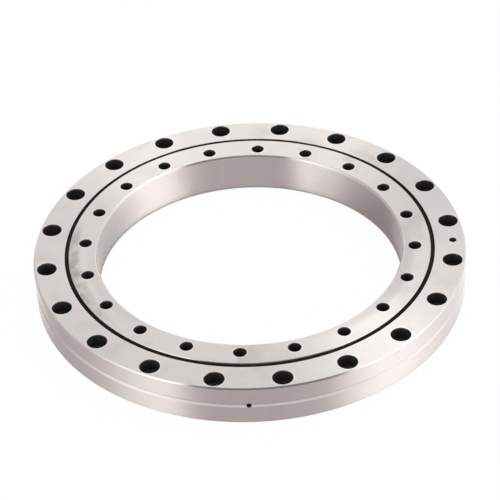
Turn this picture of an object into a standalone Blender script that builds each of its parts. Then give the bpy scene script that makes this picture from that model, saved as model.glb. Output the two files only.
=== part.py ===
"""Crossed roller bearing with mounting holes in both rings.

Two one-piece steel rings turn on each other over a single row of cylindrical rollers. The rollers run in
two facing 90 degree V raceways, and every second one is tilted the other way. A thin window cage keeps
them apart, a rubber seal closes the gap at each face, and a pinned plug closes the hole through which the
rollers were put in.

Lengths are in metres and angles in degrees. The bearing lies on its outer ring's bottom face, with Z as
the axis of rotation and the loading plug at +X.
"""

import math

import bmesh
import bpy
from mathutils import Matrix

# Rings
BORE_DIAMETER = 0.180
INNER_RING_WALL = 0.019  # from the bore to the rollers' pitch circle
OUTER_RING_WALL = 0.0185  # from the pitch circle to the outside
RING_HEIGHT = 0.025
FACE_OFFSET = 0.0004  # the inner ring stands this far above the outer ring
EDGE_CHAMFER = 0.0007
BORE_CHAMFER = 0.0018
RING_SEGMENTS = 80

# Rollers and raceways
ROLLER_DIAMETER = 0.008
ROLLER_END_PLAY = 0.0002  # a roller is this much shorter than its diameter
ROLLER_COUNT = 52
ROLLER_TILT = 45.0
ROLLER_SIDES = 10
RUNNING_GAP = 0.00025

# Cage
CAGE_THICKNESS = 0.0006
CAGE_RIM = 0.0013
CAGE_RADIAL_PLAY = 0.0003
WINDOW_PLAY = 0.0003
WINDOW_CORNER = 0.0019

# Mounting holes of the outer ring
OUTER_BOLT_INSET = 0.0075  # from the outside to the bolt circle
OUTER_HOLE_COUNT = 20
OUTER_HOLE_DIAMETER = 0.0066
COUNTERBORE_DIAMETER = 0.011
COUNTERBORE_DEPTH = 0.0068

# Mounting holes of the inner ring
INNER_BOLT_INSET = 0.0075  # from the bore to the bolt circle
INNER_HOLE_COUNT = 20
INNER_HOLE_DIAMETER = 0.007
INNER_RING_TURN = -2.81  # how far the inner ring stands turned against the outer ring
HOLE_SIDES = 12

# Grease groove around the outside, and the holes in it
GROOVE_WIDTH = 0.0034
GROOVE_FLOOR = 0.0012
GROOVE_DEPTH = 0.0008
GREASE_HOLE_DIAMETER = 0.0022
GREASE_HOLE_SPACING = 90.0
GREASE_HOLE_SIDES = 8

# Seals
OUTER_LAND_STEP = 0.00025  # from the pitch circle out to the outer ring's bore
SHOULDER_STEP = 0.00135  # from the inner ring's land down to its seal shoulder
SHOULDER_SLOPE = 0.0008
SEAL_RECESS = 0.0008
SEAL_THICKNESS = 0.0022
SEAL_UNDERCUT = 0.00065
BEAD_HEIGHT = 0.0016
BEAD_DEPTH = 0.0009
BEAD_ROOM = 0.00005  # by how much the bead's groove is larger, besides the fit gap
SEAL_ROOM = 0.0005

# Loading plug and its taper pin
LOADING_PLAY = 0.0016  # the loading hole is this much wider than a roller
PLUG_SIDES = 16
PIN_TOP_DIAMETER = 0.0034
PIN_TAPER = 0.02
PIN_TOP_RECESS = 0.0035
PIN_BOTTOM_RECESS = 0.004
PIN_CHAMFER = 0.0003
PIN_SIDES = 12

FIT_GAP = 0.0003  # between pieces that seat on each other
CUT_OVERSHOOT = 0.001  # how far a cutter runs past the face it opens
SHARP_ANGLE = 35.0

# Radii and heights worked out from the sizes above
BORE_RADIUS = BORE_DIAMETER / 2
PITCH_RADIUS = BORE_RADIUS + INNER_RING_WALL
OUTSIDE_RADIUS = PITCH_RADIUS + OUTER_RING_WALL
OUTER_BOLT_RADIUS = OUTSIDE_RADIUS - OUTER_BOLT_INSET
INNER_BOLT_RADIUS = BORE_RADIUS + INNER_BOLT_INSET
INNER_RING_BOTTOM = FACE_OFFSET
INNER_RING_TOP = RING_HEIGHT + FACE_OFFSET
RACEWAY_HEIGHT = INNER_RING_TOP / 2  # the middle of the whole bearing

ROLLER_RADIUS = ROLLER_DIAMETER / 2
ROLLER_LENGTH = ROLLER_DIAMETER - ROLLER_END_PLAY
RACEWAY_REACH = (ROLLER_RADIUS + RUNNING_GAP) * math.sqrt(2.0)  # from the roller's centre to the point of the V

OUTER_LAND_RADIUS = PITCH_RADIUS + OUTER_LAND_STEP
CAGE_OUTER_RADIUS = OUTER_LAND_RADIUS - CAGE_RADIAL_PLAY
CAGE_INNER_RADIUS = CAGE_OUTER_RADIUS - CAGE_THICKNESS
INNER_LAND_RADIUS = CAGE_INNER_RADIUS - CAGE_RADIAL_PLAY
SHOULDER_RADIUS = INNER_LAND_RADIUS - SHOULDER_STEP

SEAL_TOP = INNER_RING_TOP - SEAL_RECESS
SEAL_BOTTOM = SEAL_TOP - SEAL_THICKNESS
SEAL_OUTER_RADIUS = OUTER_LAND_RADIUS - FIT_GAP
SEAL_LIP_RADIUS = SHOULDER_RADIUS + RUNNING_GAP
BEAD_MIDDLE = SEAL_BOTTOM + BEAD_HEIGHT / 2

WINDOW_HALF_WIDTH = ROLLER_RADIUS + WINDOW_PLAY
WINDOW_HALF_HEIGHT = (ROLLER_DIAMETER + ROLLER_LENGTH) / 2 / math.sqrt(2.0) + WINDOW_PLAY
CAGE_HALF_HEIGHT = WINDOW_HALF_HEIGHT + CAGE_RIM

LOADING_HOLE_RADIUS = ROLLER_RADIUS + LOADING_PLAY / 2
PLUG_RADIUS = LOADING_HOLE_RADIUS - FIT_GAP
PIN_TOP = RING_HEIGHT - PIN_TOP_RECESS
PIN_BOTTOM = PIN_BOTTOM_RECESS


def clear_scene():
    for old in list(bpy.data.objects):
        bpy.data.objects.remove(old, do_unlink=True)


def make_material(name, colour, metallic, roughness):
    material = bpy.data.materials.new(name)
    material.use_nodes = True
    shader = material.node_tree.nodes["Principled BSDF"]
    shader.inputs["Base Color"].default_value = (*colour, 1.0)
    shader.inputs["Metallic"].default_value = metallic
    shader.inputs["Roughness"].default_value = roughness
    material.diffuse_color = (*colour, 1.0)
    return material


def finish_mesh(bm, name):
    """Turn the bmesh into a mesh that is closed, faces out and is shaded smooth up to its real edges."""
    bmesh.ops.recalc_face_normals(bm, faces=bm.faces)
    mesh = bpy.data.meshes.new(name)
    bm.to_mesh(mesh)
    bm.free()
    mesh.shade_smooth()
    mesh.set_sharp_from_angle(angle=math.radians(SHARP_ANGLE))
    return mesh


def turned_mesh(name, section, segments):
    """Turn a closed section of (radius, height) points about the Z axis."""
    bm = bmesh.new()
    corners = [bm.verts.new((radius, 0.0, height)) for radius, height in section]
    outline = [bm.edges.new(pair) for pair in zip(corners, corners[1:] + corners[:1])]
    bmesh.ops.spin(
        bm,
        geom=corners + outline,
        cent=(0.0, 0.0, 0.0),
        axis=(0.0, 0.0, 1.0),
        angle=math.tau,
        steps=segments,
        use_merge=True,
    )
    bmesh.ops.remove_doubles(bm, verts=bm.verts, dist=1e-6)
    return finish_mesh(bm, name)


def half_side(sides):
    """Turns a facet of a round cutter to face along X, so that no corner of it meets a facet edge."""
    return Matrix.Rotation(math.pi / sides, 4, "Z")


def round_bar_mesh(name, bottom_radius, top_radius, length, sides):
    """A round bar or taper along Z, centred on the origin."""
    bm = bmesh.new()
    bmesh.ops.create_cone(
        bm,
        cap_ends=True,
        segments=sides,
        radius1=bottom_radius,
        radius2=top_radius,
        depth=length,
        matrix=half_side(sides),
    )
    return finish_mesh(bm, name)


def around_axis(count, start=0.0, step=None):
    """Angles in radians of a pattern around the Z axis. Start and step are in degrees."""
    step = 360.0 / count if step is None else step
    return [math.radians(start + step * index) for index in range(count)]


def add_node(name, mesh, material, location=(0.0, 0.0, 0.0), rotation=(0.0, 0.0, 0.0), parent=None):
    node = bpy.data.objects.new(name, mesh)
    if not mesh.materials:
        mesh.materials.append(material)
    node.location = location
    node.rotation_euler = rotation
    node.parent = parent
    bpy.context.scene.collection.objects.link(node)
    return node


def add_helper(name, mesh):
    """A cutter or blank that shapes other pieces and isn't one itself."""
    helper = bpy.data.objects.new(name, mesh)
    helper.hide_render = True
    helper.display_type = "WIRE"
    bpy.context.scene.collection.objects.link(helper)
    return helper


def pattern_cutter(name, mesh, places):
    """One cutter that holds a copy of the mesh at each place."""
    bm = bmesh.new()
    for place in places:
        copy = mesh.copy()
        copy.transform(place)
        bm.from_mesh(copy)
        bpy.data.meshes.remove(copy)
    return add_helper(name, finish_mesh(bm, name))


def add_boolean(node, tool, operation="DIFFERENCE"):
    boolean = node.modifiers.new(tool.name, "BOOLEAN")
    boolean.operation = operation
    boolean.solver = "EXACT"
    boolean.object = tool


def mirrored(points):
    """The points on the other side of the raceway's middle, in the order that leads back to it."""
    return [(radius, 2.0 * RACEWAY_HEIGHT - height) for radius, height in reversed(points)]


def raceway_bottom(outward):
    """Point of a V raceway. Outward is 1 in the outer ring and -1 in the inner ring."""
    return (PITCH_RADIUS + outward * RACEWAY_REACH, RACEWAY_HEIGHT)


def raceway_edge(land_radius, outward):
    """Where the upper flank of a V raceway, at 45 degrees, comes out at the ring's land."""
    return (land_radius, RACEWAY_HEIGHT + RACEWAY_REACH - outward * (land_radius - PITCH_RADIUS))


def outer_ring_section():
    outside = [
        (OUTSIDE_RADIUS - EDGE_CHAMFER, RING_HEIGHT),
        (OUTSIDE_RADIUS, RING_HEIGHT - EDGE_CHAMFER),
        (OUTSIDE_RADIUS, RACEWAY_HEIGHT + GROOVE_WIDTH / 2),
        (OUTSIDE_RADIUS - GROOVE_DEPTH, RACEWAY_HEIGHT + GROOVE_FLOOR / 2),
        (OUTSIDE_RADIUS - GROOVE_DEPTH, RACEWAY_HEIGHT - GROOVE_FLOOR / 2),
        (OUTSIDE_RADIUS, RACEWAY_HEIGHT - GROOVE_WIDTH / 2),
        (OUTSIDE_RADIUS, EDGE_CHAMFER),
        (OUTSIDE_RADIUS - EDGE_CHAMFER, 0.0),
    ]
    bead_half = BEAD_HEIGHT / 2 + BEAD_ROOM
    upper_bore = [
        raceway_edge(OUTER_LAND_RADIUS, 1),
        (OUTER_LAND_RADIUS, BEAD_MIDDLE - bead_half),
        (OUTER_LAND_RADIUS + BEAD_DEPTH + BEAD_ROOM, BEAD_MIDDLE),
        (OUTER_LAND_RADIUS, BEAD_MIDDLE + bead_half),
    ]
    bottom_corner = [(OUTER_LAND_RADIUS, 0.0)]
    top_corner = [(OUTER_LAND_RADIUS, RING_HEIGHT)]
    return outside + bottom_corner + mirrored(upper_bore) + [raceway_bottom(1)] + upper_bore + top_corner


def inner_ring_section():
    bore_and_top = [
        (BORE_RADIUS, INNER_RING_BOTTOM + BORE_CHAMFER),
        (BORE_RADIUS, INNER_RING_TOP - BORE_CHAMFER),
        (BORE_RADIUS + BORE_CHAMFER, INNER_RING_TOP),
        (SHOULDER_RADIUS, INNER_RING_TOP),
    ]
    shoulder_height = SEAL_BOTTOM - SEAL_ROOM
    upper_outside = [
        (SHOULDER_RADIUS, shoulder_height),
        (INNER_LAND_RADIUS, shoulder_height - SHOULDER_SLOPE),
        raceway_edge(INNER_LAND_RADIUS, -1),
    ]
    bottom = [(SHOULDER_RADIUS, INNER_RING_BOTTOM), (BORE_RADIUS + BORE_CHAMFER, INNER_RING_BOTTOM)]
    return bore_and_top + upper_outside + [raceway_bottom(-1)] + mirrored(upper_outside) + bottom


def add_outer_ring(steel):
    mesh = turned_mesh("outer_ring", outer_ring_section(), RING_SEGMENTS)
    ring = add_node("outer_ring", mesh, steel)
    add_boolean(ring, loading_hole_cutter())
    add_boolean(ring, grease_hole_cutter())
    add_boolean(ring, pin_hole_cutter("pin_hole_cutter"))
    add_boolean(ring, outer_hole_cutter())
    return ring


def outer_hole_cutter():
    """Counterbored mounting holes, half a pitch away from the loading plug."""
    ledge = RING_HEIGHT - COUNTERBORE_DEPTH
    section = [
        (0.0, RING_HEIGHT + CUT_OVERSHOOT),
        (COUNTERBORE_DIAMETER / 2, RING_HEIGHT + CUT_OVERSHOOT),
        (COUNTERBORE_DIAMETER / 2, ledge),
        (OUTER_HOLE_DIAMETER / 2, ledge),
        (OUTER_HOLE_DIAMETER / 2, -CUT_OVERSHOOT),
        (0.0, -CUT_OVERSHOOT),
    ]
    mesh = turned_mesh("outer_hole", section, HOLE_SIDES)
    mesh.transform(half_side(HOLE_SIDES))
    half_pitch = 180.0 / OUTER_HOLE_COUNT
    places = [
        Matrix.Rotation(angle, 4, "Z") @ Matrix.Translation((OUTER_BOLT_RADIUS, 0.0, 0.0))
        for angle in around_axis(OUTER_HOLE_COUNT, half_pitch)
    ]
    return pattern_cutter("outer_hole_cutter", mesh, places)


def radial_bar(name, radius, sides):
    """A bar along X through the outer ring's wall at the raceway's height."""
    inner_end = OUTER_LAND_RADIUS - CUT_OVERSHOOT
    outer_end = OUTSIDE_RADIUS + CUT_OVERSHOOT
    mesh = round_bar_mesh(name, radius, radius, outer_end - inner_end, sides)
    middle = Matrix.Translation(((inner_end + outer_end) / 2, 0.0, RACEWAY_HEIGHT))
    mesh.transform(middle @ Matrix.Rotation(math.pi / 2, 4, "Y"))
    return mesh


def loading_hole_cutter():
    return add_helper("loading_hole_cutter", radial_bar("loading_hole", LOADING_HOLE_RADIUS, PLUG_SIDES))


def grease_hole_cutter():
    """Grease holes from the outside groove to the raceway, everywhere but at the plug."""
    mesh = radial_bar("grease_hole", GREASE_HOLE_DIAMETER / 2, GREASE_HOLE_SIDES)
    count = round(360.0 / GREASE_HOLE_SPACING) - 1
    angles = around_axis(count, GREASE_HOLE_SPACING, GREASE_HOLE_SPACING)
    return pattern_cutter("grease_hole_cutter", mesh, [Matrix.Rotation(angle, 4, "Z") for angle in angles])


def pin_radius(height):
    """The taper pin gets thinner downwards."""
    return PIN_TOP_DIAMETER / 2 + (height - PIN_TOP) * PIN_TAPER / 2


def pin_hole_cutter(name):
    """Tapered hole right through the ring and the plug."""
    low = -CUT_OVERSHOOT
    high = RING_HEIGHT + CUT_OVERSHOOT
    mesh = round_bar_mesh(name, pin_radius(low) + FIT_GAP, pin_radius(high) + FIT_GAP, high - low, PIN_SIDES)
    mesh.transform(Matrix.Translation((OUTER_BOLT_RADIUS, 0.0, (low + high) / 2)))
    return add_helper(name, mesh)


def add_inner_ring(steel):
    mesh = turned_mesh("inner_ring", inner_ring_section(), RING_SEGMENTS)
    ring = add_node("inner_ring", mesh, steel, rotation=(0.0, 0.0, math.radians(INNER_RING_TURN)))
    length = RING_HEIGHT + 2 * CUT_OVERSHOOT
    hole = round_bar_mesh("inner_hole", INNER_HOLE_DIAMETER / 2, INNER_HOLE_DIAMETER / 2, length, HOLE_SIDES)
    middle = (INNER_RING_BOTTOM + INNER_RING_TOP) / 2
    places = [
        Matrix.Rotation(angle, 4, "Z") @ Matrix.Translation((INNER_BOLT_RADIUS, 0.0, middle))
        for angle in around_axis(INNER_HOLE_COUNT)
    ]
    cutter = pattern_cutter("inner_hole_cutter", hole, places)
    cutter.rotation_euler = ring.rotation_euler
    add_boolean(ring, cutter)
    return ring


def add_seals(rubber):
    """One rubber ring at each face. Its bead snaps into the outer ring and its lip runs on the inner ring."""
    section = [
        (SEAL_LIP_RADIUS, SEAL_TOP),
        (SEAL_LIP_RADIUS + SEAL_UNDERCUT, SEAL_BOTTOM),
        (SEAL_OUTER_RADIUS, SEAL_BOTTOM),
        (SEAL_OUTER_RADIUS + BEAD_DEPTH, BEAD_MIDDLE),
        (SEAL_OUTER_RADIUS, BEAD_MIDDLE + BEAD_HEIGHT / 2),
        (SEAL_OUTER_RADIUS, SEAL_TOP),
    ]
    mesh = turned_mesh("seal", section, RING_SEGMENTS)
    add_node("upper_seal", mesh, rubber)
    turned_over = (math.pi, 0.0, 0.0)
    add_node("lower_seal", mesh, rubber, location=(0.0, 0.0, 2 * RACEWAY_HEIGHT), rotation=turned_over)


def add_loading_plug(ring, steel):
    """The plug is turned together with the ring, so it carries the same raceway and outside groove."""
    blank = add_helper("ring_blank", ring.data)
    plug = add_node("loading_plug", radial_bar("loading_plug", PLUG_RADIUS, PLUG_SIDES), steel)
    add_boolean(plug, blank, "INTERSECT")
    add_boolean(plug, pin_hole_cutter("plug_pin_hole_cutter"))


def add_plug_pin(steel):
    length = PIN_TOP - PIN_BOTTOM
    mesh = round_bar_mesh("plug_pin", pin_radius(PIN_BOTTOM), pin_radius(PIN_TOP), length, PIN_SIDES)
    pin = add_node("plug_pin", mesh, steel, location=(OUTER_BOLT_RADIUS, 0.0, (PIN_TOP + PIN_BOTTOM) / 2))
    bevel = pin.modifiers.new("rounded_ends", "BEVEL")
    bevel.width = PIN_CHAMFER
    bevel.segments = 1
    bevel.limit_method = "ANGLE"
    bevel.angle_limit = math.radians(SHARP_ANGLE)


def window_mesh():
    """A cage window as a bar along X, as tall as a tilted roller and with its corners cut off."""
    wide = WINDOW_HALF_WIDTH
    tall = WINDOW_HALF_HEIGHT
    outline = [(wide, tall - WINDOW_CORNER * math.sqrt(2.0)), (wide - WINDOW_CORNER, tall)]
    outline = outline + [(-across, up) for across, up in reversed(outline)]
    outline = outline + [(across, -up) for across, up in reversed(outline)]
    bm = bmesh.new()
    start = CAGE_INNER_RADIUS - CUT_OVERSHOOT
    face = bm.faces.new([bm.verts.new((start, across, up)) for across, up in outline])
    grown = bmesh.ops.extrude_face_region(bm, geom=[face])["geom"]
    length = CAGE_THICKNESS + 2 * CUT_OVERSHOOT
    end = [item for item in grown if isinstance(item, bmesh.types.BMVert)]
    bmesh.ops.translate(bm, verts=end, vec=(length, 0.0, 0.0))
    return finish_mesh(bm, "window")


def add_cage(brass, axis):
    low = RACEWAY_HEIGHT - CAGE_HALF_HEIGHT
    high = RACEWAY_HEIGHT + CAGE_HALF_HEIGHT
    section = [
        (CAGE_INNER_RADIUS, low),
        (CAGE_INNER_RADIUS, high),
        (CAGE_OUTER_RADIUS, high),
        (CAGE_OUTER_RADIUS, low),
    ]
    mesh = turned_mesh("roller_cage", section, 2 * ROLLER_COUNT)
    cage = add_node("roller_cage", mesh, brass, parent=axis)
    lift = Matrix.Translation((0.0, 0.0, RACEWAY_HEIGHT))
    places = [Matrix.Rotation(angle, 4, "Z") @ lift for angle in around_axis(ROLLER_COUNT)]
    add_boolean(cage, pattern_cutter("window_cutter", window_mesh(), places))


def add_rollers(steel, axis):
    """Crossed rollers: each tilts in the plane through the bearing's axis, every second one the other way."""
    mesh = round_bar_mesh("roller", ROLLER_RADIUS, ROLLER_RADIUS, ROLLER_LENGTH, ROLLER_SIDES)
    for index, angle in enumerate(around_axis(ROLLER_COUNT)):
        centre = (PITCH_RADIUS * math.cos(angle), PITCH_RADIUS * math.sin(angle), RACEWAY_HEIGHT)
        tilt = math.radians(ROLLER_TILT if index % 2 == 0 else -ROLLER_TILT)
        add_node(f"roller_{index + 1:02d}", mesh, steel, centre, (0.0, tilt, angle), axis)


def add_roller_axis():
    """The cage and its rollers travel together around the bearing's axis."""
    axis = bpy.data.objects.new("roller_set_axis", None)
    bpy.context.scene.collection.objects.link(axis)
    return axis


def build():
    clear_scene()
    ground_steel = make_material("ground_steel", (0.66, 0.65, 0.64), 1.0, 0.32)
    roller_steel = make_material("roller_steel", (0.72, 0.72, 0.73), 1.0, 0.12)
    plug_steel = make_material("plug_steel", (0.60, 0.60, 0.60), 1.0, 0.35)
    pin_steel = make_material("pin_steel", (0.16, 0.16, 0.17), 1.0, 0.45)
    seal_rubber = make_material("seal_rubber", (0.02, 0.02, 0.02), 0.0, 0.6)
    cage_brass = make_material("cage_brass", (0.78, 0.57, 0.25), 1.0, 0.3)
    outer_ring = add_outer_ring(ground_steel)
    add_inner_ring(ground_steel)
    add_seals(seal_rubber)
    add_loading_plug(outer_ring, plug_steel)
    add_plug_pin(pin_steel)
    roller_axis = add_roller_axis()
    add_cage(cage_brass, roller_axis)
    add_rollers(roller_steel, roller_axis)


build()
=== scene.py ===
import math

import bpy
from mathutils import Matrix, Vector


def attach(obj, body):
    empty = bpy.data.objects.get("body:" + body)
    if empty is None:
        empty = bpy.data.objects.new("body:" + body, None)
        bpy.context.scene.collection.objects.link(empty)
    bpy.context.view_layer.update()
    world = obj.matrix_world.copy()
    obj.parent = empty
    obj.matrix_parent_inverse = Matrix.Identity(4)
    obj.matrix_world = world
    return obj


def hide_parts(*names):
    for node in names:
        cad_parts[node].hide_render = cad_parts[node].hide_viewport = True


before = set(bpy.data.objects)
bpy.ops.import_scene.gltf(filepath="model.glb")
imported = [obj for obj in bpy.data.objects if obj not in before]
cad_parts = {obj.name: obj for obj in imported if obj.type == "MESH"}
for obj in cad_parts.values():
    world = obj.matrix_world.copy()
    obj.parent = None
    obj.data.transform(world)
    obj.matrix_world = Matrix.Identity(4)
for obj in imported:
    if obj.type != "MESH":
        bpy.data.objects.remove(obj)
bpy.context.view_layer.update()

scene = bpy.context.scene
scene.view_settings.view_transform = "Standard"

# Sizes that all pieces share, in metres
bearing = {
    "pitchRadius": 0.109,
    "middleHeight": 0.0127,
    "outerHeight": 0.025,
    "innerBottom": 0.0004,
    "innerTop": 0.0254,
    "landRadius": 0.1092,  # bore of the outer ring, where the seals sit
    "racewayReach": 0.00601,
    "reliefHalf": 0.0004,  # the groove at the bottom of each raceway
    "reliefDepth": 0.0003,
    "toolPast": 0.001,  # how far a tool runs past the face it opens
    "innerRingTurn": -2.81,  # degrees
    "steps": 360,  # segments around each ring
}


# Shader maths
class Signal:
    # One output socket of a node. Sums and products of signals add the Math nodes for them.
    def __init__(self, tree, socket=None):
        self.tree = tree
        self.socket = socket

    def make(self, kind, settings=None, sockets=None, outputs=0):
        node = self.tree.nodes.new(kind)
        for name, value in (settings or {}).items():
            if name == "stops":
                fillRamp(node.color_ramp, value)
            else:
                setattr(node, name, value)
        for name, value in (sockets or {}).items():
            if isinstance(value, Signal):
                self.tree.links.new(value.socket, node.inputs[name])
            else:
                node.inputs[name].default_value = value
        if isinstance(outputs, tuple):
            return [Signal(self.tree, node.outputs[each]) for each in outputs]
        return Signal(self.tree, node.outputs[outputs])

    def math(self, operation, first, second=0.0):
        return self.make("ShaderNodeMath", {"operation": operation}, {0: first, 1: second})

    def __add__(self, other):
        return self.math("ADD", self, other)

    def __radd__(self, other):
        return self.math("ADD", other, self)

    def __sub__(self, other):
        return self.math("SUBTRACT", self, other)

    def __rsub__(self, other):
        return self.math("SUBTRACT", other, self)

    def __mul__(self, other):
        return self.math("MULTIPLY", self, other)

    def __truediv__(self, other):
        return self.math("DIVIDE", self, other)

    def __pow__(self, other):
        return self.math("POWER", self, other)

    def atan2(self, other):
        return self.math("ARCTAN2", self, other)

    def wrapped(self):
        # How far it is from the nearest whole number, with its sign
        return self.math("FRACT", self + 0.5) - 0.5

    def ramp(self, low, high):
        # 0 below low, 1 above high, soft in between
        return self.make(
            "ShaderNodeMapRange",
            {"interpolation_type": "SMOOTHSTEP"},
            {"Value": self, "From Min": low, "From Max": high, "To Min": 0.0, "To Max": 1.0},
        )

    def tint(self, first, second):
        # The first colour where this signal is 0, the second where it is 1
        return self.make("ShaderNodeMix", {"data_type": "RGBA"}, {"Factor": self, 6: first, 7: second}, 2)


def fillRamp(ramp, stops):
    # Stops are (place, colour) pairs in rising order
    while len(ramp.elements) < len(stops):
        ramp.elements.new(0.5)
    for element, (place, colour) in zip(ramp.elements, stops):
        element.position = place
        element.color = colour


def rgba(colour):
    return (*colour, 1.0)


def newMaterial(name, shaderValues):
    # A material with its shader set to fixed values, and a signal to build its pattern from
    material = bpy.data.materials.new(name)
    material.use_nodes = True
    shader = material.node_tree.nodes["Principled BSDF"]
    for socket, value in shaderValues.items():
        shader.inputs[socket].default_value = value
    return material, shader, Signal(material.node_tree)


def feed(shader, socket, signal):
    signal.tree.links.new(signal.socket, shader.inputs[socket])


def objectPlace(start):
    return start.make("ShaderNodeTexCoord", outputs="Object")


def aroundAxis(start, place):
    # The place as x, y, z and distance from the bearing's axis
    x, y, z = start.make("ShaderNodeSeparateXYZ", None, {"Vector": place}, ("X", "Y", "Z"))
    return x, y, z, (x * x + y * y) ** 0.5


def cloud(start, place, scale, detail, roughness, distortion=0.0):
    sockets = {
        "Vector": place, "Scale": scale, "Detail": detail, "Roughness": roughness, "Distortion": distortion,
    }
    return start.make("ShaderNodeTexNoise", None, sockets, "Fac")


def bump(start, height, distance):
    sockets = {"Strength": 1.0, "Distance": distance, "Height": height}
    return start.make("ShaderNodeBump", None, sockets, "Normal")


def roundLines(start, x, y, across, density, drift):
    # Lines around the axis that slowly change on their way round
    vector = start.make("ShaderNodeCombineXYZ", None, {"X": across * density, "Y": x * drift, "Z": y * drift})
    return cloud(start, vector, 1.0, 2.0, 0.6)


def nearHoles(x, y, radius, holes, width):
    # 1 at the rim of each hole of a bolt circle, falling to 0 over the width outside it
    step = math.tau / holes["count"]
    aside = (y.atan2(x) / step - math.radians(holes["start"]) / step).wrapped() * step * holes["circle"]
    out = radius - holes["circle"]
    distance = (aside * aside + out * out) ** 0.5
    return 1 - distance.ramp(holes["rim"] + width * 0.4, holes["rim"] + width)


def patchShare(x, y, radius, choice):
    # A patch that follows the ring: 1 in its middle and 0 at its edge
    across = (radius - choice["radius"]) / choice["wide"]
    turn = (y.atan2(x) / math.tau - choice["angle"] / 360).wrapped()
    along = turn * (math.tau * choice["radius"] / choice["long"])
    return 1 - (across * across + along * along).ramp(0.0, 1.0)


# What all metal ground or turned around the axis has in common
grinding = {
    "slope": 1.7,  # carries the lines down the walls, where the radius stays the same
    "fineDrift": 9.0,
    "broadDrift": 4.0,
    "fineShare": 0.6,
    "shade": 0.2,
    "handlingFrom": 0.50,
    "handlingFull": 0.74,
    "speckScale": 1400.0,
    "speckFrom": 0.66,
    "speckFull": 0.80,
    "mottleScale": 150.0,
    "fineHeight": 0.6,
    "broadHeight": 0.8,
    "stretchTurn": 0.25,  # of a whole turn
}


def groundMetal(name, look):
    # Fine lines, faint clouds from handling, small specks
    material, shader, start = newMaterial(name, {
        "Metallic": 1.0,
        "Anisotropic": look["stretch"],
        "Anisotropic Rotation": grinding["stretchTurn"],
    })
    place = objectPlace(start)
    x, y, z, radius = aroundAxis(start, place)
    across = radius + z * grinding["slope"]
    fine = roundLines(start, x, y, across, look["fineLines"], grinding["fineDrift"])
    broad = roundLines(start, x, y, across, look["broadLines"], grinding["broadDrift"])
    handling = cloud(start, place, look["cloudScale"], 4.0, 0.6, 0.4)
    handling = handling.ramp(grinding["handlingFrom"], grinding["handlingFull"])
    specks = cloud(start, place, grinding["speckScale"], 2.0, 0.5)
    specks = specks.ramp(grinding["speckFrom"], grinding["speckFull"])
    lines = (broad - 0.5) * look["lineTone"] + (fine - 0.5) * look["lineTone"] * grinding["fineShare"]
    shade = grinding["shade"] + handling * look["cloudTone"] + lines + specks * look["speckTone"]
    colour = shade.tint(rgba(look["colour"]), rgba(look["stain"]))
    # Painted highlight: a lighter ring round the mouth of each bolt hole, where its broken edge catches the
    # light
    if "haloColour" in look:
        haloShare = nearHoles(x, y, radius, look["holes"], look["haloWidth"])
        colour = haloShare.tint(colour, rgba(look["haloColour"]))
    # Darker patches along the ring: the two on the inner band are painted shade that dims the highlight
    # reflected there
    for choice in look.get("darkPatches", []):
        mottle = cloud(start, place, grinding["mottleScale"], 3.0, 0.5).ramp(choice["thin"], choice["thick"])
        colour = (patchShare(x, y, radius, choice) * mottle).tint(colour, rgba(choice["colour"]))
    feed(shader, "Base Color", colour)
    rough = look["roughness"] + handling * look["cloudRough"] + (fine - 0.5) * look["lineRough"]
    feed(shader, "Roughness", rough)
    height = fine * grinding["fineHeight"] + broad * grinding["broadHeight"]
    feed(shader, "Normal", bump(start, height, look["lineDepth"]))
    return material


def blackScale(name, look):
    # The dark scale that hardening leaves where no wheel reaches, a little browner in places
    material, shader, start = newMaterial(name, {"Metallic": 0.0, "Specular IOR Level": look["gloss"]})
    place = objectPlace(start)
    mottle = cloud(start, place, look["mottleScale"], 4.0, 0.6)
    light = mottle.ramp(look["lightFrom"], look["lightFull"])
    feed(shader, "Base Color", light.tint(rgba(look["dark"]), rgba(look["light"])))
    feed(shader, "Roughness", look["roughness"] + mottle * look["mottleRough"])
    feed(shader, "Normal", bump(start, mottle, look["grainDepth"]))
    return material


def sealRubber(name, look):
    # Moulded nitrile rubber: matt black, a fine grain, and a dry bloom in patches
    material, shader, start = newMaterial(name, {"Metallic": 0.0, "Specular IOR Level": look["gloss"]})
    place = objectPlace(start)
    grain = cloud(start, place, look["grainScale"], 2.0, 0.5)
    bloom = cloud(start, place, look["bloomScale"], 4.0, 0.6).ramp(look["bloomFrom"], look["bloomFull"])
    feed(shader, "Base Color", bloom.tint(rgba(look["black"]), rgba(look["bloom"])))
    rough = look["roughness"] + grain * look["grainRough"] + bloom * look["bloomRough"]
    feed(shader, "Roughness", rough)
    feed(shader, "Normal", bump(start, grain, look["grainDepth"]))
    return material


def lappedSteel(name, look):
    # Hardened and lapped: almost a mirror, with hair scratches every way
    material, shader, start = newMaterial(name, {"Metallic": 1.0})
    place = objectPlace(start)
    scratches = cloud(start, place, look["scratchScale"], 3.0, 0.7, 1.5)
    stained = scratches.ramp(look["stainFrom"], look["stainFull"])
    feed(shader, "Base Color", stained.tint(rgba(look["colour"]), rgba(look["stain"])))
    feed(shader, "Roughness", look["roughness"] + scratches * look["scratchRough"])
    feed(shader, "Normal", bump(start, scratches, look["scratchDepth"]))
    return material


# Modelling
modelling = {
    "sharpAngle": 22,  # degrees, edges over it stay sharp
    "weldDistance": 2e-6,
    "levelFace": 0.999,  # how far up a level face points, at least
}


def pick(*pieces):
    # Only these are selected, and the first is active
    if bpy.context.mode != "OBJECT":
        bpy.ops.object.mode_set(mode="OBJECT")
    bpy.ops.object.select_all(action="DESELECT")
    for piece in pieces:
        piece.select_set(True)
    if pieces:
        bpy.context.view_layer.objects.active = pieces[0]


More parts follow.
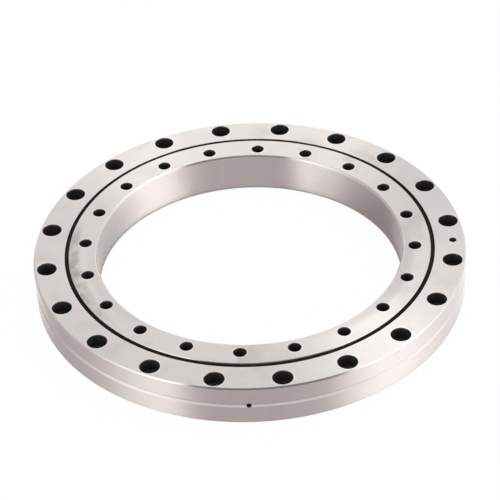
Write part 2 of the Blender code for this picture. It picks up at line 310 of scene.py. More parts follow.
def selectParts(piece, kind, test):
    # Leaves the piece in edit mode with the faces or edges selected that pass the test
    pick(piece)
    bpy.ops.object.mode_set(mode="EDIT")
    bpy.ops.mesh.select_mode(type=kind)
    bpy.ops.mesh.select_all(action="DESELECT")
    bpy.ops.object.mode_set(mode="OBJECT")
    for part in piece.data.polygons if kind == "FACE" else piece.data.edges:
        part.select = test(part)
    bpy.ops.object.mode_set(mode="EDIT")


def settle(piece):
    # Its place goes into its mesh
    bpy.ops.object.mode_set(mode="OBJECT")
    pick(piece)
    bpy.ops.object.transform_apply(location=True, rotation=True, scale=True)


def turned(name, section, steps, capped=False):
    # A circle, pulled from one (radius, height) point of the section to the next. Capped makes a solid bar
    # of it, otherwise the last point joins the first and it is a ring.
    pick()
    radius, height = section[0]
    fill = "NGON" if capped else "NOTHING"
    bpy.ops.mesh.primitive_circle_add(vertices=steps, radius=radius, fill_type=fill, location=(0, 0, height))
    piece = bpy.context.object
    piece.name = name
    bpy.ops.object.mode_set(mode="EDIT")
    bpy.ops.mesh.select_all(action="SELECT")
    for nextRadius, nextHeight in section[1:] if capped else section[1:] + section[:1]:
        bpy.ops.mesh.extrude_region_move(TRANSFORM_OT_translate={"value": (0, 0, nextHeight - height)})
        grow = nextRadius / radius
        bpy.ops.transform.resize(value=(grow, grow, 1), center_override=(0, 0, nextHeight))
        radius, height = nextRadius, nextHeight
    bpy.ops.mesh.select_all(action="SELECT")
    bpy.ops.mesh.remove_doubles(threshold=modelling["weldDistance"])
    bpy.ops.mesh.normals_make_consistent(inside=False)
    settle(piece)
    return piece


def layRadially(piece):
    # Turns a bar along Z into one along X
    piece.data.transform(Matrix.Rotation(math.pi / 2, 4, "Y"))


def copiesAt(piece, places):
    # The piece goes, and one piece with a copy of it at each place comes
    copies = []
    for place in places:
        copy = piece.copy()
        copy.data = piece.data.copy()
        copy.data.transform(place)
        scene.collection.objects.link(copy)
        copies.append(copy)
    bpy.data.objects.remove(piece)
    pick(*copies)
    bpy.ops.object.join()
    return copies[0]


def around(count, start=0.0, step=None):
    # Turns about the bearing's axis, start and step in degrees
    step = 360.0 / count if step is None else step
    return [Matrix.Rotation(math.radians(start + step * index), 4, "Z") for index in range(count)]


def carve(piece, tool, operation="DIFFERENCE"):
    pick(piece)
    modifier = piece.modifiers.new("carve", "BOOLEAN")
    modifier.operation = operation
    modifier.solver = "EXACT"
    modifier.object = tool
    bpy.ops.object.modifier_apply(modifier=modifier.name)
    bpy.data.objects.remove(tool)


def dress(piece, materials, choose=None):
    # Choose takes a face and gives the place of its material in the list
    piece.data.materials.clear()
    for material in materials:
        piece.data.materials.append(material)
    for face in piece.data.polygons:
        face.material_index = choose(face) if choose else 0


def finish(piece, body, nodes):
    # Rounded surfaces are shaded smooth, level ones stay flat right up to the holes
    pick(piece)
    bpy.ops.object.shade_smooth_by_angle(angle=math.radians(modelling["sharpAngle"]))
    for part in piece.data.polygons:
        if abs(part.normal.z) > modelling["levelFace"]:
            part.use_smooth = False
    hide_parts(*nodes)
    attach(piece, body)


def mirrored(points):
    # The same points below the middle, in the order that leads back
    return [(radius, 2 * bearing["middleHeight"] - height) for radius, height in reversed(points)]


# Ring materials
outerHoles = {"circle": 0.120, "count": 20, "start": 9.0, "rim": 0.00588}
innerHoles = {"circle": 0.0975, "count": 20, "start": bearing["innerRingTurn"], "rim": 0.00388}
outerFaceLook = {
    "colour": (0.795, 0.776, 0.758), "stain": (0.61, 0.585, 0.565), "roughness": 0.38, "stretch": 0.85,
    "fineLines": 3800.0, "broadLines": 700.0, "lineTone": 0.20, "lineRough": 0.08, "lineDepth": 4e-6,
    "cloudScale": 42.0, "cloudTone": 0.30, "cloudRough": 0.08, "speckTone": 0.25,
    # The last two paint a lighter ring round each bolt hole: a painted highlight of its edge
    "holes": outerHoles, "haloColour": (0.84, 0.815, 0.79), "haloWidth": 0.0009,
}
innerFaceLook = dict(
    outerFaceLook, holes=innerHoles, cloudScale=34.0, cloudTone=0.42,
    colour=(0.80, 0.776, 0.757),
    # Darker patches: the first, near the seal, is darker only; the two on the inner band are painted shade
    # dimming its reflected highlight
    darkPatches=[
        {"colour": (0.40, 0.395, 0.37), "thin": 0.15, "thick": 0.75,
         "radius": 0.1045, "angle": -166.0, "wide": 0.0055, "long": 0.060},
        {"colour": (0.60, 0.585, 0.575), "thin": -0.10, "thick": 0.50,
         "radius": 0.0925, "angle": -28.0, "wide": 0.0070, "long": 0.075},
        {"colour": (0.70, 0.680, 0.665), "thin": -0.10, "thick": 0.50,
         "radius": 0.0925, "angle": -155.0, "wide": 0.0060, "long": 0.055},
    ],
)
wallLook = {
    "colour": (0.78, 0.730, 0.720), "stain": (0.60, 0.545, 0.535), "roughness": 0.26, "stretch": 0.90,
    "fineLines": 3200.0, "broadLines": 900.0, "lineTone": 0.12, "lineRough": 0.07, "lineDepth": 3e-6,
    "cloudScale": 30.0, "cloudTone": 0.18, "cloudRough": 0.06, "speckTone": 0.15,
}
edgeLook = {
    "colour": (0.86, 0.835, 0.815), "stain": (0.60, 0.56, 0.54), "roughness": 0.18, "stretch": 0.60,
    "fineLines": 5000.0, "broadLines": 1500.0, "lineTone": 0.30, "lineRough": 0.08, "lineDepth": 4e-6,
    "cloudScale": 70.0, "cloudTone": 0.15, "cloudRough": 0.04, "speckTone": 0.10,
}
grooveLook = {
    "colour": (0.79, 0.75, 0.74), "stain": (0.62, 0.57, 0.56), "roughness": 0.30, "stretch": 0.40,
    "fineLines": 2600.0, "broadLines": 1200.0, "lineTone": 0.24, "lineRough": 0.10, "lineDepth": 4e-6,
    "cloudScale": 50.0, "cloudTone": 0.20, "cloudRough": 0.08, "speckTone": 0.20,
}
racewayLook = {
    "colour": (0.80, 0.79, 0.78), "stain": (0.60, 0.56, 0.52), "roughness": 0.14, "stretch": 0.60,
    "fineLines": 5200.0, "broadLines": 1400.0, "lineTone": 0.20, "lineRough": 0.06, "lineDepth": 3e-6,
    "cloudScale": 60.0, "cloudTone": 0.15, "cloudRough": 0.05, "speckTone": 0.15,
}
boreEdgeLook = dict(edgeLook, colour=(0.79, 0.765, 0.745), roughness=0.20)
rimLook = {
    "colour": (0.15, 0.145, 0.14), "stain": (0.09, 0.085, 0.08), "roughness": 0.20, "stretch": 0.0,
    "fineLines": 4000.0, "broadLines": 1500.0, "lineTone": 0.20, "lineRough": 0.08, "lineDepth": 3e-6,
    "cloudScale": 160.0, "cloudTone": 0.30, "cloudRough": 0.10, "speckTone": 0.20,
}
scaleLook = {
    "dark": (0.032, 0.032, 0.036), "light": (0.054, 0.052, 0.054), "roughness": 0.60, "gloss": 0.12,
    "mottleScale": 420.0, "mottleRough": 0.2, "lightFrom": 0.35, "lightFull": 0.7, "grainDepth": 2e-5,
}

ringMaterials = [
    groundMetal("outerFace", outerFaceLook),
    groundMetal("groundWall", wallLook),
    groundMetal("turnedEdge", edgeLook),
    groundMetal("turnedGroove", grooveLook),
    groundMetal("raceway", racewayLook),
    blackScale("hardeningScale", scaleLook),
    groundMetal("innerFace", innerFaceLook),
    groundMetal("brokenRim", rimLook),
    groundMetal("boreEdge", boreEdgeLook),
]
face, wall, edge, groove, raceway, scale, innerFace, rim, boreEdge = range(9)
print("ring materials made")

# Where each finish lies: radii, half heights from the raceway's middle, and how level a face is, from 0 to 1
zones = {
    "racewayFrom": 0.1005,
    "racewayTo": 0.1176,
    "racewayHalf": 0.0068,
    "grooveFrom": 0.126,
    "grooveTo": 0.1274,
    "grooveHalf": 0.0019,
    "boreEdgeTo": 0.093,
    "level": 0.99,
    "leaning": 0.02,
    "rimFrom": 0.3,
    "rimTo": 0.97,
}


def ringFinish(part):
    # Which finish a face of a turned ring has, before holes go in
    radius = math.hypot(part.center.x, part.center.y)
    away = abs(part.center.z - bearing["middleHeight"])
    level = abs(part.normal.z)
    if zones["racewayFrom"] < radius < zones["racewayTo"] and away < zones["racewayHalf"]:
        return raceway
    if level > zones["level"]:
        return face if radius > bearing["pitchRadius"] else innerFace
    leaning = level > zones["leaning"]
    if radius > zones["grooveFrom"] and away < zones["grooveHalf"]:
        return groove if leaning or radius < zones["grooveTo"] else wall
    if leaning:
        return boreEdge if radius < zones["boreEdgeTo"] else edge
    return wall


def toolFinish(part):
    # Holes are drilled before hardening and keep its scale. Their broken edge is a little brighter.
    return rim if zones["rimFrom"] < abs(part.normal.z) < zones["rimTo"] else scale


def brokenMouth(radius, height, broken, way):
    # Section points of a hole's broken edge, on past the face that it opens in. Way is 1 at a top face.
    return [
        (radius, height - way * broken),
        (radius + broken * 0.3, height - way * broken * 0.28),
        (radius + broken * 1.35, height + way * broken * 0.14),
        (radius + broken * 1.35, height + way * bearing["toolPast"]),
    ]


# Outer ring
outerRing = {
    "outside": 0.1275,
    "chamfer": 0.0008,
    "boreChamfer": 0.00012,
    "grooveMiddle": 0.0130,
    "grooveHalf": 0.0012,
    "grooveFloorHalf": 0.0003,
    "grooveDepth": 0.00070,
    "grooveLip": 0.00012,
    "beadMiddle": 0.0232,
    "beadHalf": 0.00085,
    "beadDepth": 0.00095,
    "beadTip": 0.0001,
    "boltCircle": 0.120,
    "boltCount": 20,
    "boltHole": 0.0033,
    "counterbore": 0.0055,
    "counterboreDepth": 0.0068,
    "ledgeBreak": 0.0002,
    "brokenEdge": 0.00040,
    "holeSides": 64,
    "greaseHole": 0.0014,
    "greaseBreak": 0.0001,
    "greaseSides": 32,
    "greaseCount": 3,
    "greaseSpacing": 90.0,  # degrees, and as far from the loading plug
    "loadingHole": 0.0048,
    "barFrom": 0.1075,  # radii between which the radial tools reach
    "barTo": 0.1290,
    "pinHole": 0.002,
    "pinTaper": 0.01,
    "pinBreak": 0.0002,
    "pinSides": 48,
}


def outerSection():
    sizes = outerRing
    top = bearing["outerHeight"]
    middle = bearing["middleHeight"]
    land = bearing["landRadius"]
    outside = sizes["outside"]
    floor = outside - sizes["grooveDepth"]
    lip = sizes["grooveLip"]
    cut = [
        (outside, sizes["grooveHalf"] + lip),
        (outside - lip, sizes["grooveHalf"] - lip),
        (floor + lip, sizes["grooveFloorHalf"] + lip),
        (floor, sizes["grooveFloorHalf"] - lip),
    ]
    upperOutside = [(outside - sizes["chamfer"], top), (outside, top - sizes["chamfer"])]
    upperOutside += [(radius, sizes["grooveMiddle"] + away) for radius, away in cut]
    lowerOutside = [(radius, sizes["grooveMiddle"] - away) for radius, away in reversed(cut)]
    bottom = [
        (outside, sizes["chamfer"]),
        (outside - sizes["chamfer"], 0.0),
        (land + sizes["boreChamfer"], 0.0),
        (land, sizes["boreChamfer"]),
    ]
    reach = bearing["racewayReach"]
    upperBore = [
        (bearing["pitchRadius"] + reach - bearing["reliefHalf"], middle + bearing["reliefHalf"]),
        (land, middle + reach - (land - bearing["pitchRadius"])),
        (land, sizes["beadMiddle"] - sizes["beadHalf"]),
        (land + sizes["beadDepth"], sizes["beadMiddle"] - sizes["beadTip"]),
        (land + sizes["beadDepth"], sizes["beadMiddle"] + sizes["beadTip"]),
        (land, sizes["beadMiddle"] + sizes["beadHalf"]),
    ]
    boreTop = [(land, top - sizes["boreChamfer"]), (land + sizes["boreChamfer"], top)]
    relief = [(bearing["pitchRadius"] + reach + bearing["reliefDepth"], middle)]
    return upperOutside + lowerOutside + bottom + mirrored(upperBore) + relief + upperBore + boreTop


def boltTool():
    # Counterbored hole with both mouths broken
    sizes = outerRing
    top = bearing["outerHeight"]
    ledge = top - sizes["counterboreDepth"]
    below = brokenMouth(sizes["boltHole"], 0.0, sizes["brokenEdge"], -1)[::-1]
    above = brokenMouth(sizes["counterbore"], top, sizes["brokenEdge"], 1)
    seat = [
        (sizes["boltHole"], ledge - sizes["ledgeBreak"]),
        (sizes["boltHole"] + sizes["ledgeBreak"], ledge),
        (sizes["counterbore"], ledge),
    ]
    tool = turned("boltTool", below + seat + above, sizes["holeSides"], capped=True)
    tool.data.transform(Matrix.Translation((sizes["boltCircle"], 0.0, 0.0)))
    dress(tool, ringMaterials, toolFinish)
    return copiesAt(tool, around(sizes["boltCount"], 180.0 / sizes["boltCount"]))


def radialBar(name, radius):
    # A bar along X at the raceway's height
    section = [(radius, outerRing["barFrom"]), (radius, outerRing["barTo"])]
    bar = turned(name, section, outerRing["holeSides"], capped=True)
    layRadially(bar)
    bar.data.transform(Matrix.Translation((0.0, 0.0, bearing["middleHeight"])))
    return bar


def greaseTool():
    # The holes in the groove have a slightly broken edge
    sizes = outerRing
    radius = sizes["greaseHole"]
    wide = radius + sizes["greaseBreak"]
    floor = sizes["outside"] - sizes["grooveDepth"]
    section = [
        (radius, sizes["barFrom"]), (radius, floor - sizes["greaseBreak"]),
        (wide, floor), (wide, sizes["barTo"]),
    ]
    tool = turned("greaseTool", section, sizes["greaseSides"], capped=True)
    layRadially(tool)
    tool.data.transform(Matrix.Translation((0.0, 0.0, sizes["grooveMiddle"])))
    dress(tool, ringMaterials, lambda part: scale)
    return copiesAt(tool, around(sizes["greaseCount"], sizes["greaseSpacing"], sizes["greaseSpacing"]))


def pinTool(name):
    sizes = outerRing
    top = bearing["outerHeight"]
    low = sizes["pinHole"] - sizes["pinTaper"] * top
    below = brokenMouth(low, 0.0, sizes["pinBreak"], -1)[::-1]
    above = brokenMouth(sizes["pinHole"], top, sizes["pinBreak"], 1)
    tool = turned(name, below + above, sizes["pinSides"], capped=True)
    tool.data.transform(Matrix.Translation((sizes["boltCircle"], 0.0, 0.0)))
    dress(tool, ringMaterials, toolFinish)
    return tool


ringBody = turned("outerRingBody", outerSection(), bearing["steps"])
dress(ringBody, ringMaterials, ringFinish)
plugBlank = ringBody.copy()
plugBlank.data = ringBody.data.copy()
scene.collection.objects.link(plugBlank)

loadingTool = radialBar("loadingTool", outerRing["loadingHole"])
dress(loadingTool, ringMaterials, lambda part: wall)
carve(ringBody, loadingTool)
carve(ringBody, greaseTool())
carve(ringBody, pinTool("pinTool"))
carve(ringBody, boltTool())
finish(ringBody, "outer", ["outer_ring"])
print("outer ring made", len(ringBody.data.polygons), "faces")

# Loading plug, turned together with the ring
plugFit = {"gap": 0.00006}
plugBody = radialBar("loadingPlugBody", outerRing["loadingHole"] - plugFit["gap"])
dress(plugBody, ringMaterials, lambda part: wall)
carve(plugBody, plugBlank, "INTERSECT")
carve(plugBody, pinTool("plugPinTool"))
finish(plugBody, "outer", ["loading_plug"])
print("loading plug made")

# Taper pin
plugPin = {"radius": 0.0017, "top": 0.0215, "bottom": 0.004, "taper": 0.01, "round": 0.0004, "sides": 48}
pinLook = {
    "dark": (0.020, 0.020, 0.022), "light": (0.050, 0.046, 0.043), "roughness": 0.38, "gloss": 0.5,
    "mottleScale": 600.0, "mottleRough": 0.2, "lightFrom": 0.35, "lightFull": 0.7, "grainDepth": 1e-5,
}


def pinSection():
    radius, top, bottom, size = (plugPin[key] for key in ("radius", "top", "bottom", "round"))
    low = radius - (top - bottom) * plugPin["taper"]
    part = size * 0.3
    return [
        (low - size, bottom), (low - part, bottom + part), (low, bottom + size),
        (radius, top - size), (radius - part, top - part), (radius - size, top),
    ]


pinBody = turned("plugPinBody", pinSection(), plugPin["sides"], capped=True)
pinBody.data.transform(Matrix.Translation((outerRing["boltCircle"], 0.0, 0.0)))
dress(pinBody, [blackScale("blackenedPin", pinLook)])
finish(pinBody, "outer", ["plug_pin"])
print("taper pin made")

# Inner ring
innerRing = {
    "bore": 0.090,
    "edgeRound": 0.0005,  # the bore's upper edge is rounded, with a flat in it
    "edgeFlat": 0.0012,
    "flatTurn": 43,  # degrees from the bore
    "flatHold": 3,  # degrees, keeps the smooth shading of the rounding off the flat
    "edgeHold": 0.0003,  # keeps it off the bore
    "footRound": 0.0012,
    "gapChamfer": 0.0003,
    "land": 0.10805,
    "shoulder": 0.1068,
    "shoulderHeight": 0.0219,
    "shoulderSlope": 0.0008,
    "shoulderFoot": 0.0002,
    "boltCircle": 0.0975,
    "boltCount": 20,
    "boltHole": 0.0035,
    "brokenEdge": 0.00040,
}


def edgeCurve(size, flat=0.0):
    # From the bore to the face: how far out, and how far below the face
    flatTurn = innerRing["flatTurn"]
    hold = innerRing["flatHold"]
    flatOut = flat * math.sin(math.radians(flatTurn))
    flatUp = flat * math.cos(math.radians(flatTurn))

    def rounded(turn, moreOut, moreDown):
        across = size - size * math.cos(math.radians(turn)) + moreOut
        return across, size - size * math.sin(math.radians(turn)) + moreDown

    boreSide = [rounded(turn, 0.0, flatUp) for turn in (0, 14, 28, flatTurn - hold, flatTurn)]
    faceSide = [rounded(turn, flatOut, 0.0) for turn in (flatTurn, flatTurn + hold, 60, 75, 90)]
    return [(0.0, size + flatUp + innerRing["edgeHold"])] + boreSide + faceSide


def innerSection():
    sizes = innerRing
    low = bearing["innerBottom"]
    high = bearing["innerTop"]
    bore = sizes["bore"]
    middle = bearing["middleHeight"]
    reach = bearing["racewayReach"]
    pitch = bearing["pitchRadius"]
    boreSide = [(bore + out, low + away) for out, away in reversed(edgeCurve(sizes["footRound"]))]
    boreSide += [(bore + out, high - away) for out, away in edgeCurve(sizes["edgeRound"], sizes["edgeFlat"])]
    foot = sizes["shoulderFoot"]
    upperOutside = [
        (pitch - reach + bearing["reliefHalf"], middle + bearing["reliefHalf"]),
        (sizes["land"], middle + reach - (pitch - sizes["land"])),
        (sizes["land"], sizes["shoulderHeight"] - sizes["shoulderSlope"]),
        (sizes["shoulder"] + foot, sizes["shoulderHeight"] - foot / 2),
        (sizes["shoulder"], sizes["shoulderHeight"] + foot),
    ]
    lowerOutside = mirrored(upperOutside)[::-1]
    relief = [(pitch - reach - bearing["reliefDepth"], middle)]
    gap = sizes["gapChamfer"]
    upperGap = [(sizes["shoulder"] - gap, high), (sizes["shoulder"], high - gap)]
    lowerGap = [(sizes["shoulder"], low + gap), (sizes["shoulder"] - gap, low)]
    return boreSide + upperGap + upperOutside[::-1] + relief + lowerOutside + lowerGap


def innerBoltTool():
    # Plain hole with both mouths broken
    sizes = innerRing
    below = brokenMouth(sizes["boltHole"], bearing["innerBottom"], sizes["brokenEdge"], -1)[::-1]
    above = brokenMouth(sizes["boltHole"], bearing["innerTop"], sizes["brokenEdge"], 1)
    tool = turned("innerTool", below + above, outerRing["holeSides"], capped=True)
    tool.data.transform(Matrix.Translation((sizes["boltCircle"], 0.0, 0.0)))
    dress(tool, ringMaterials, toolFinish)
    return copiesAt(tool, around(sizes["boltCount"], bearing["innerRingTurn"]))


innerBody = turned("innerRingBody", innerSection(), bearing["steps"])
dress(innerBody, ringMaterials, ringFinish)
carve(innerBody, innerBoltTool())
finish(innerBody, "inner", ["inner_ring"])
print("inner ring made", len(innerBody.data.polygons), "faces")

# Seals: a lip, a raised rib that catches the light, and a bead that snaps into the outer ring
sealSection = [
    (0.10690, 0.02425), (0.10696, 0.02435), (0.10708, 0.02430), (0.10730, 0.02375), (0.10758, 0.02375),
    (0.10776, 0.02440), (0.10784, 0.02452), (0.10798, 0.02456), (0.10812, 0.02452), (0.10820, 0.02440),
    (0.10838, 0.02375), (0.10870, 0.02375), (0.10890, 0.02430), (0.10898, 0.02425), (0.10900, 0.02400),
    (0.10960, 0.02345), (0.10984, 0.02320), (0.10960, 0.02295), (0.10900, 0.02240), (0.10780, 0.02240),
    (0.10740, 0.02300), (0.10718, 0.02340),
]
rubberLook = {
    "black": (0.004, 0.004, 0.004), "bloom": (0.010, 0.009, 0.008), "roughness": 0.45, "gloss": 0.28,
    "grainScale": 5200.0, "grainDepth": 1e-5, "grainRough": 0.12,
    "bloomScale": 60.0, "bloomFrom": 0.45, "bloomFull": 0.75, "bloomRough": 0.1,
}
rubber = sealRubber("nitrileRubber", rubberLook)
for name, node, over in (("upperSealBody", "upper_seal", False), ("lowerSealBody", "lower_seal", True)):
    section = mirrored(sealSection) if over else sealSection
    seal = turned(name, section, bearing["steps"])
    dress(seal, [rubber])
    finish(seal, "outer", [node])
print("seals made")

# Cage: a thin ring with a window for every roller
cage = {
    "inside": 0.10835,
    "outside": 0.10895,
    "halfHeight": 0.007186,
    "blunt": 0.0001,
    "count": 52,
    "stepsPerWindow": 8,
    "windowHalfWidth": 0.0043,
    "windowHalfHeight": 0.005886,
    "windowToolDepth": 0.003,
    "windowCorner": 0.0019,
    "cornerSteps": 5,
}
brassLook = {
    "colour": (0.80, 0.58, 0.26), "stain": (0.48, 0.30, 0.12), "roughness": 0.26, "stretch": 0.5,
    "fineLines": 4200.0, "broadLines": 900.0, "lineTone": 0.30, "lineRough": 0.12, "lineDepth": 6e-6,
    "cloudScale": 90.0, "cloudTone": 0.40, "cloudRough": 0.12, "speckTone": 0.30,
}


def cageSection():
    inside = cage["inside"]
    outside = cage["outside"]
    blunt = cage["blunt"]
    low = bearing["middleHeight"] - cage["halfHeight"]
    high = bearing["middleHeight"] + cage["halfHeight"]
    return [
        (inside, low + blunt), (inside, high - blunt), (inside + blunt, high), (outside - blunt, high),
        (outside, high - blunt), (outside, low + blunt), (outside - blunt, low), (inside + blunt, low),
    ]


cageBody = turned("rollerCageBody", cageSection(), cage["stepsPerWindow"] * cage["count"])
pick()
bpy.ops.mesh.primitive_cube_add(
    size=1.0,
    location=((cage["inside"] + cage["outside"]) / 2, 0.0, bearing["middleHeight"]),
    scale=(cage["windowToolDepth"], 2 * cage["windowHalfWidth"], 2 * cage["windowHalfHeight"]),
)
windowTool = bpy.context.object
settle(windowTool)


def runsOutwards(part):
    first, second = (windowTool.data.vertices[index].co for index in part.vertices)
    return abs(first.x - second.x) > cage["windowToolDepth"] / 2


selectParts(windowTool, "EDGE", runsOutwards)
bpy.ops.mesh.bevel(offset=cage["windowCorner"], segments=cage["cornerSteps"], affect="EDGES")
settle(windowTool)
carve(cageBody, copiesAt(windowTool, around(cage["count"])))
dress(cageBody, [groundMetal("sheetBrass", brassLook)])
finish(cageBody, "cage", ["roller_cage"])
print("cage made", len(cageBody.data.polygons), "faces")

# Rollers: one is modelled, and every second copy leans the other way
roller = {
    "radius": 0.004,
    "length": 0.0078,
    "tilt": 45.0,  # degrees
    "sides": 32,
    "endRound": 0.0004,
    "endSteps": 2,
    "dimpleRim": 0.0014,
    "dimpleDepth": 0.00015,
    "dimpleFoot": 0.0003,
}
rollerLook = {
    "colour": (0.80, 0.80, 0.81), "stain": (0.66, 0.65, 0.65), "roughness": 0.06,
    "stainFrom": 0.55, "stainFull": 0.8, "scratchScale": 900.0, "scratchRough": 0.08, "scratchDepth": 2e-6,
}
pick()
bpy.ops.mesh.primitive_cylinder_add(vertices=roller["sides"], radius=roller["radius"], depth=roller["length"])
rollerBody = bpy.context.object


def onRim(part):
    first, second = (rollerBody.data.vertices[index].co for index in part.vertices)
    return abs(first.z - second.z) < roller["length"] / 2


selectParts(rollerBody, "EDGE", onRim)
bpy.ops.mesh.bevel(offset=roller["endRound"], segments=roller["endSteps"], affect="EDGES")
for way in (-1, 1):
    selectParts(rollerBody, "FACE", lambda part: part.normal.z * way > modelling["levelFace"])
    bpy.ops.mesh.inset(thickness=roller["dimpleRim"], use_even_offset=True)
    bpy.ops.transform.translate(value=(0, 0, -way * roller["dimpleDepth"]))
    bpy.ops.mesh.inset(thickness=roller["dimpleFoot"], use_even_offset=True)
settle(rollerBody)
dress(rollerBody, [lappedSteel("lappedRoller", rollerLook)])
for index in range(cage["count"]):
    node = f"roller_{index + 1:02d}"
    copy = rollerBody.copy()
    copy.data = rollerBody.data.copy()
    copy.name = f"rollerBody{index + 1:02d}"
    scene.collection.objects.link(copy)
    tilt = math.radians(roller["tilt"] if index % 2 == 0 else -roller["tilt"])
    turn = Matrix.Rotation(math.tau * index / cage["count"], 4, "Z")
    out = Matrix.Translation((bearing["pitchRadius"], 0.0, bearing["middleHeight"]))
    copy.data.transform(turn @ out @ Matrix.Rotation(tilt, 4, "Y"))
    finish(copy, node, [node])
bpy.data.objects.remove(rollerBody)
print("rollers made")

# Floor
studio = {
    "floorSize": 6.0,
    "floorHeight": -0.00002,
    "shadowShare": 0.03,
    "boreShade": (0.58, 0.56, 0.565),
    "rightFrom": 0.008,  # the shade inside the bore deepens to the right
    "rightFull": 0.068,
    "leftMiddle": -0.05,  # on the left it follows a curve
    "leftBend": 19.0,
    "leftFull": 0.047,
    "leftFrom": 0.068,
    "leftFade": 0.02,
    "leftShare": 0.80,
    "paper": (0.86, 0.86, 0.86),
    # painted shade: the paper as the metal mirrors it, darker than it is
    "paperShadeInReflections": (0.60, 0.59, 0.59),
    "boreFrom": 0.0890,
    "boreTo": 0.0905,
    "contactInside": 0.0895,
    "contactOutside": 0.1295,
    "fade": 0.004,
}


def palePaper():
    # White to the camera with a faint shadow. The metal mirrors it only close to the rings, where painted
    # shade makes it darker. Further off it lets reflections through, dimmed inside the bore by painted shade.
    material = bpy.data.materials.new("palePaper")
    material.use_nodes = True
    tree = material.node_tree
    tree.nodes.remove(tree.nodes["Principled BSDF"])
    start = Signal(tree)
    isCamera, isGlossy = start.make("ShaderNodeLightPath", outputs=("Is Camera Ray", "Is Glossy Ray"))
    x, y, z, radius = aroundAxis(start, objectPlace(start))
    near = radius.ramp(studio["contactInside"] - studio["fade"], studio["contactInside"])
    near = near * (1 - radius.ramp(studio["contactOutside"] - studio["fade"], studio["contactOutside"]))
    # Painted shade: in reflections the paper is darker, as if deep in the rings' shadow
    paperTone = isGlossy.tint(rgba(studio["paper"]), rgba(studio["paperShadeInReflections"]))
    paper = start.make("ShaderNodeBsdfDiffuse", None, {"Color": paperTone})
    white = start.make("ShaderNodeEmission", None, {"Color": rgba((1, 1, 1)), "Strength": 1.0})
    inside = 1 - radius.ramp(studio["boreFrom"], studio["boreTo"])
    bend = x - studio["leftMiddle"]
    leftDim = 1 - (y + bend * bend * studio["leftBend"]).ramp(studio["leftFull"], studio["leftFrom"])
    leftDim = leftDim * (0 - x).ramp(0.0, studio["leftFade"]) * studio["leftShare"]
    dim = (x.ramp(studio["rightFrom"], studio["rightFull"]) + leftDim) * inside
    dimmed = dim.tint(rgba((1, 1, 1)), rgba(studio["boreShade"]))
    clear = start.make("ShaderNodeBsdfTransparent", None, {"Color": dimmed})
    whiteShare = isCamera * (1 - studio["shadowShare"])
    seen = start.make("ShaderNodeMixShader", None, {0: whiteShare, 1: paper, 2: white})
    shown = start.make("ShaderNodeMixShader", None, {0: isGlossy * (1 - near), 1: seen, 2: clear})
    tree.links.new(shown.socket, tree.nodes["Material Output"].inputs["Surface"])
    return material


pick()
bpy.ops.mesh.primitive_plane_add(size=studio["floorSize"], location=(0, 0, studio["floorHeight"]))
floorPlane = bpy.context.object
floorPlane.name = "floor"
floorPlane.data.materials.append(palePaper())

# World: a bright tent around the table
tent = {
    # Pairs of azimuth and brightness, +X is 0 degrees and +Y is 90. Heights are those on a unit sphere.
    "below": [
        (-180, 0.65), (-170, 0.75), (-160, 0.95), (-145, 1.14), (-133, 1.14), (-127, 0.84), (-121, 0.58),
        (-113, 0.50), (-100, 0.52), (-90, 0.53), (-70, 0.54), (-56, 0.56), (-48, 0.64), (-40, 0.88),
        (-32, 1.12), (-26, 1.30), (-2, 1.40), (15, 1.15), (30, 1.00), (45, 0.99), (60, 1.12), (70, 1.36),
        (80, 1.45), (92, 1.45), (105, 1.30), (116, 1.12), (126, 0.94), (134, 0.58), (148, 0.55), (160, 0.54),
        (170, 0.59), (180, 0.65),
    ],
    "above": [
        (-180, 0.70), (-170, 0.85), (-160, 1.12), (-145, 1.36), (-131, 1.44), (-124, 0.92), (-110, 0.80),
        (-70, 0.80), (-54, 0.84), (-44, 0.98), (-36, 1.12), (-24, 1.36), (-2, 1.38), (15, 1.12), (30, 1.00),
        (45, 0.92), (60, 0.88), (75, 0.84), (84, 0.86), (96, 0.85), (105, 0.80), (120, 0.78), (130, 0.72),
        (143, 0.62), (165, 0.58), (172, 0.63), (180, 0.70),
    ],
    "seam": 0.1,  # the two lists blend from this far below the table's height to as far above it
    "dark": (1.0, 0.93, 0.93),
    "darkLevel": 0.45,
    "bright": (1.0, 0.985, 0.975),
    "brightLevel": 1.0,
    "roof": (0.82, 0.805, 0.79),
    "roofFrom": 0.785,
    "roofFull": 0.86,
    "opening": (0.10, 0.095, 0.095),  # the dark opening above the camera
    "openingLeft": -126,
    "openingRight": -36,
    "openingBlur": 3,
    "openingFrom": 0.56,
    "openingFull": 0.69,
}


def roundShare(azimuth):
    # How far round an azimuth lies, from 0 at -180 degrees to 1 at 180
    return (azimuth + 180) / 360


def tentSide(share, levels):
    # A ramp holds 0 to 1, so the levels go in halved
    stops = [(roundShare(azimuth), rgba((level / 2,) * 3)) for azimuth, level in levels]
    ramp = share.make("ShaderNodeValToRGB", {"stops": stops}, {"Fac": share}, "Color")
    return share.make("ShaderNodeSeparateColor", None, {"Color": ramp}, "Red") * 2


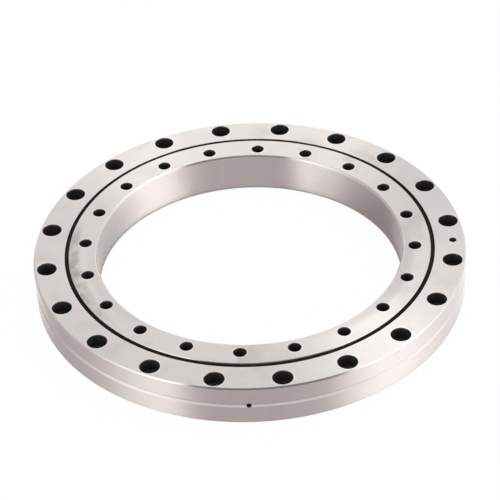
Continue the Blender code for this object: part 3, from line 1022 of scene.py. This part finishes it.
def tentWorld():
    world = bpy.data.worlds.new("studio")
    world.use_nodes = True
    world.cycles.sampling_method = "NONE"
    start = Signal(world.node_tree)
    isCamera = start.make("ShaderNodeLightPath", outputs="Is Camera Ray")
    way = start.make("ShaderNodeTexCoord", outputs="Generated")
    x, y, z = start.make("ShaderNodeSeparateXYZ", None, {"Vector": way}, ("X", "Y", "Z"))
    share = y.atan2(x) / math.tau + 0.5
    belowSide = tentSide(share, tent["below"])
    level = belowSide + (tentSide(share, tent["above"]) - belowSide) * z.ramp(-tent["seam"], tent["seam"])
    tone = level.ramp(tent["darkLevel"], tent["brightLevel"]).tint(rgba(tent["dark"]), rgba(tent["bright"]))
    side = start.make("ShaderNodeVectorMath", {"operation": "SCALE"}, {0: tone, "Scale": level}, "Vector")
    left, right, blur = tent["openingLeft"], tent["openingRight"], tent["openingBlur"]
    opening = share.ramp(roundShare(left - blur), roundShare(left + blur))
    opening = opening * (1 - share.ramp(roundShare(right - blur), roundShare(right + blur)))
    opening = opening * z.ramp(tent["openingFrom"], tent["openingFull"])
    side = opening.tint(side, rgba(tent["opening"]))
    roofed = z.ramp(tent["roofFrom"], tent["roofFull"]).tint(side, rgba(tent["roof"]))
    feed(world.node_tree.nodes["Background"], "Color", isCamera.tint(roofed, rgba((1, 1, 1))))
    return world


scene.world = tentWorld()

# Lamps: a large one high up at the back right, a small one close behind that lifts the far side
lamps = {
    "softLamp": {
        "place": (0.66, 0.66, 1.55), "aim": (0, 0, 0.02), "width": 0.60, "height": 0.60, "power": 2.95,
    },
    "backLamp": {
        "place": (0.0, 0.36, 0.20), "aim": (0, 0.11, 0.025), "width": 0.20, "height": 0.10, "power": 0.070,
    },
}
lampColour = (1.0, 0.985, 0.96)
for name, choice in lamps.items():
    bpy.ops.object.light_add(type="AREA", location=choice["place"])
    lamp = bpy.context.object
    lamp.name = name
    lamp.data.shape = "RECTANGLE"
    lamp.data.size = choice["width"]
    lamp.data.size_y = choice["height"]
    lamp.data.energy = choice["power"]
    lamp.data.color = lampColour
    away = Vector(choice["place"]) - Vector(choice["aim"])
    lamp.rotation_euler = away.to_track_quat("Z", "Y").to_euler()
    lamp.visible_camera = False
print("studio made")

# Camera, where the photograph was taken from. Its place is given before the azimuth turns it.
view = {
    "azimuth": 1.79,  # degrees
    "elevation": 37.965,
    "roll": 2.493,
    "lens": 145.66,  # millimetres
    "sensor": 36.0,
    "nearest": 0.01,
    "place": (0.00023, -0.9446, 0.75808),
}
spin = Matrix.Rotation(math.radians(view["azimuth"]), 3, "Z")
elevation = math.radians(view["elevation"])
toRight = spin @ Vector((1, 0, 0))
forward = spin @ Vector((0, math.cos(elevation), -math.sin(elevation)))
toTop = toRight.cross(forward)
roll = math.radians(view["roll"])
leanRight = toRight * math.cos(roll) - toTop * math.sin(roll)
leanUp = toRight * math.sin(roll) + toTop * math.cos(roll)
cameraData = bpy.data.cameras.new("camera")
cameraData.lens = view["lens"]
cameraData.sensor_width = view["sensor"]
cameraData.clip_start = view["nearest"]
camera = bpy.data.objects.new("camera", cameraData)
aimed = Matrix((leanRight, leanUp, -forward)).transposed().to_4x4()
camera.matrix_world = Matrix.Translation(spin @ Vector(view["place"])) @ aimed
scene.collection.objects.link(camera)
scene.camera = camera
print("camera made")
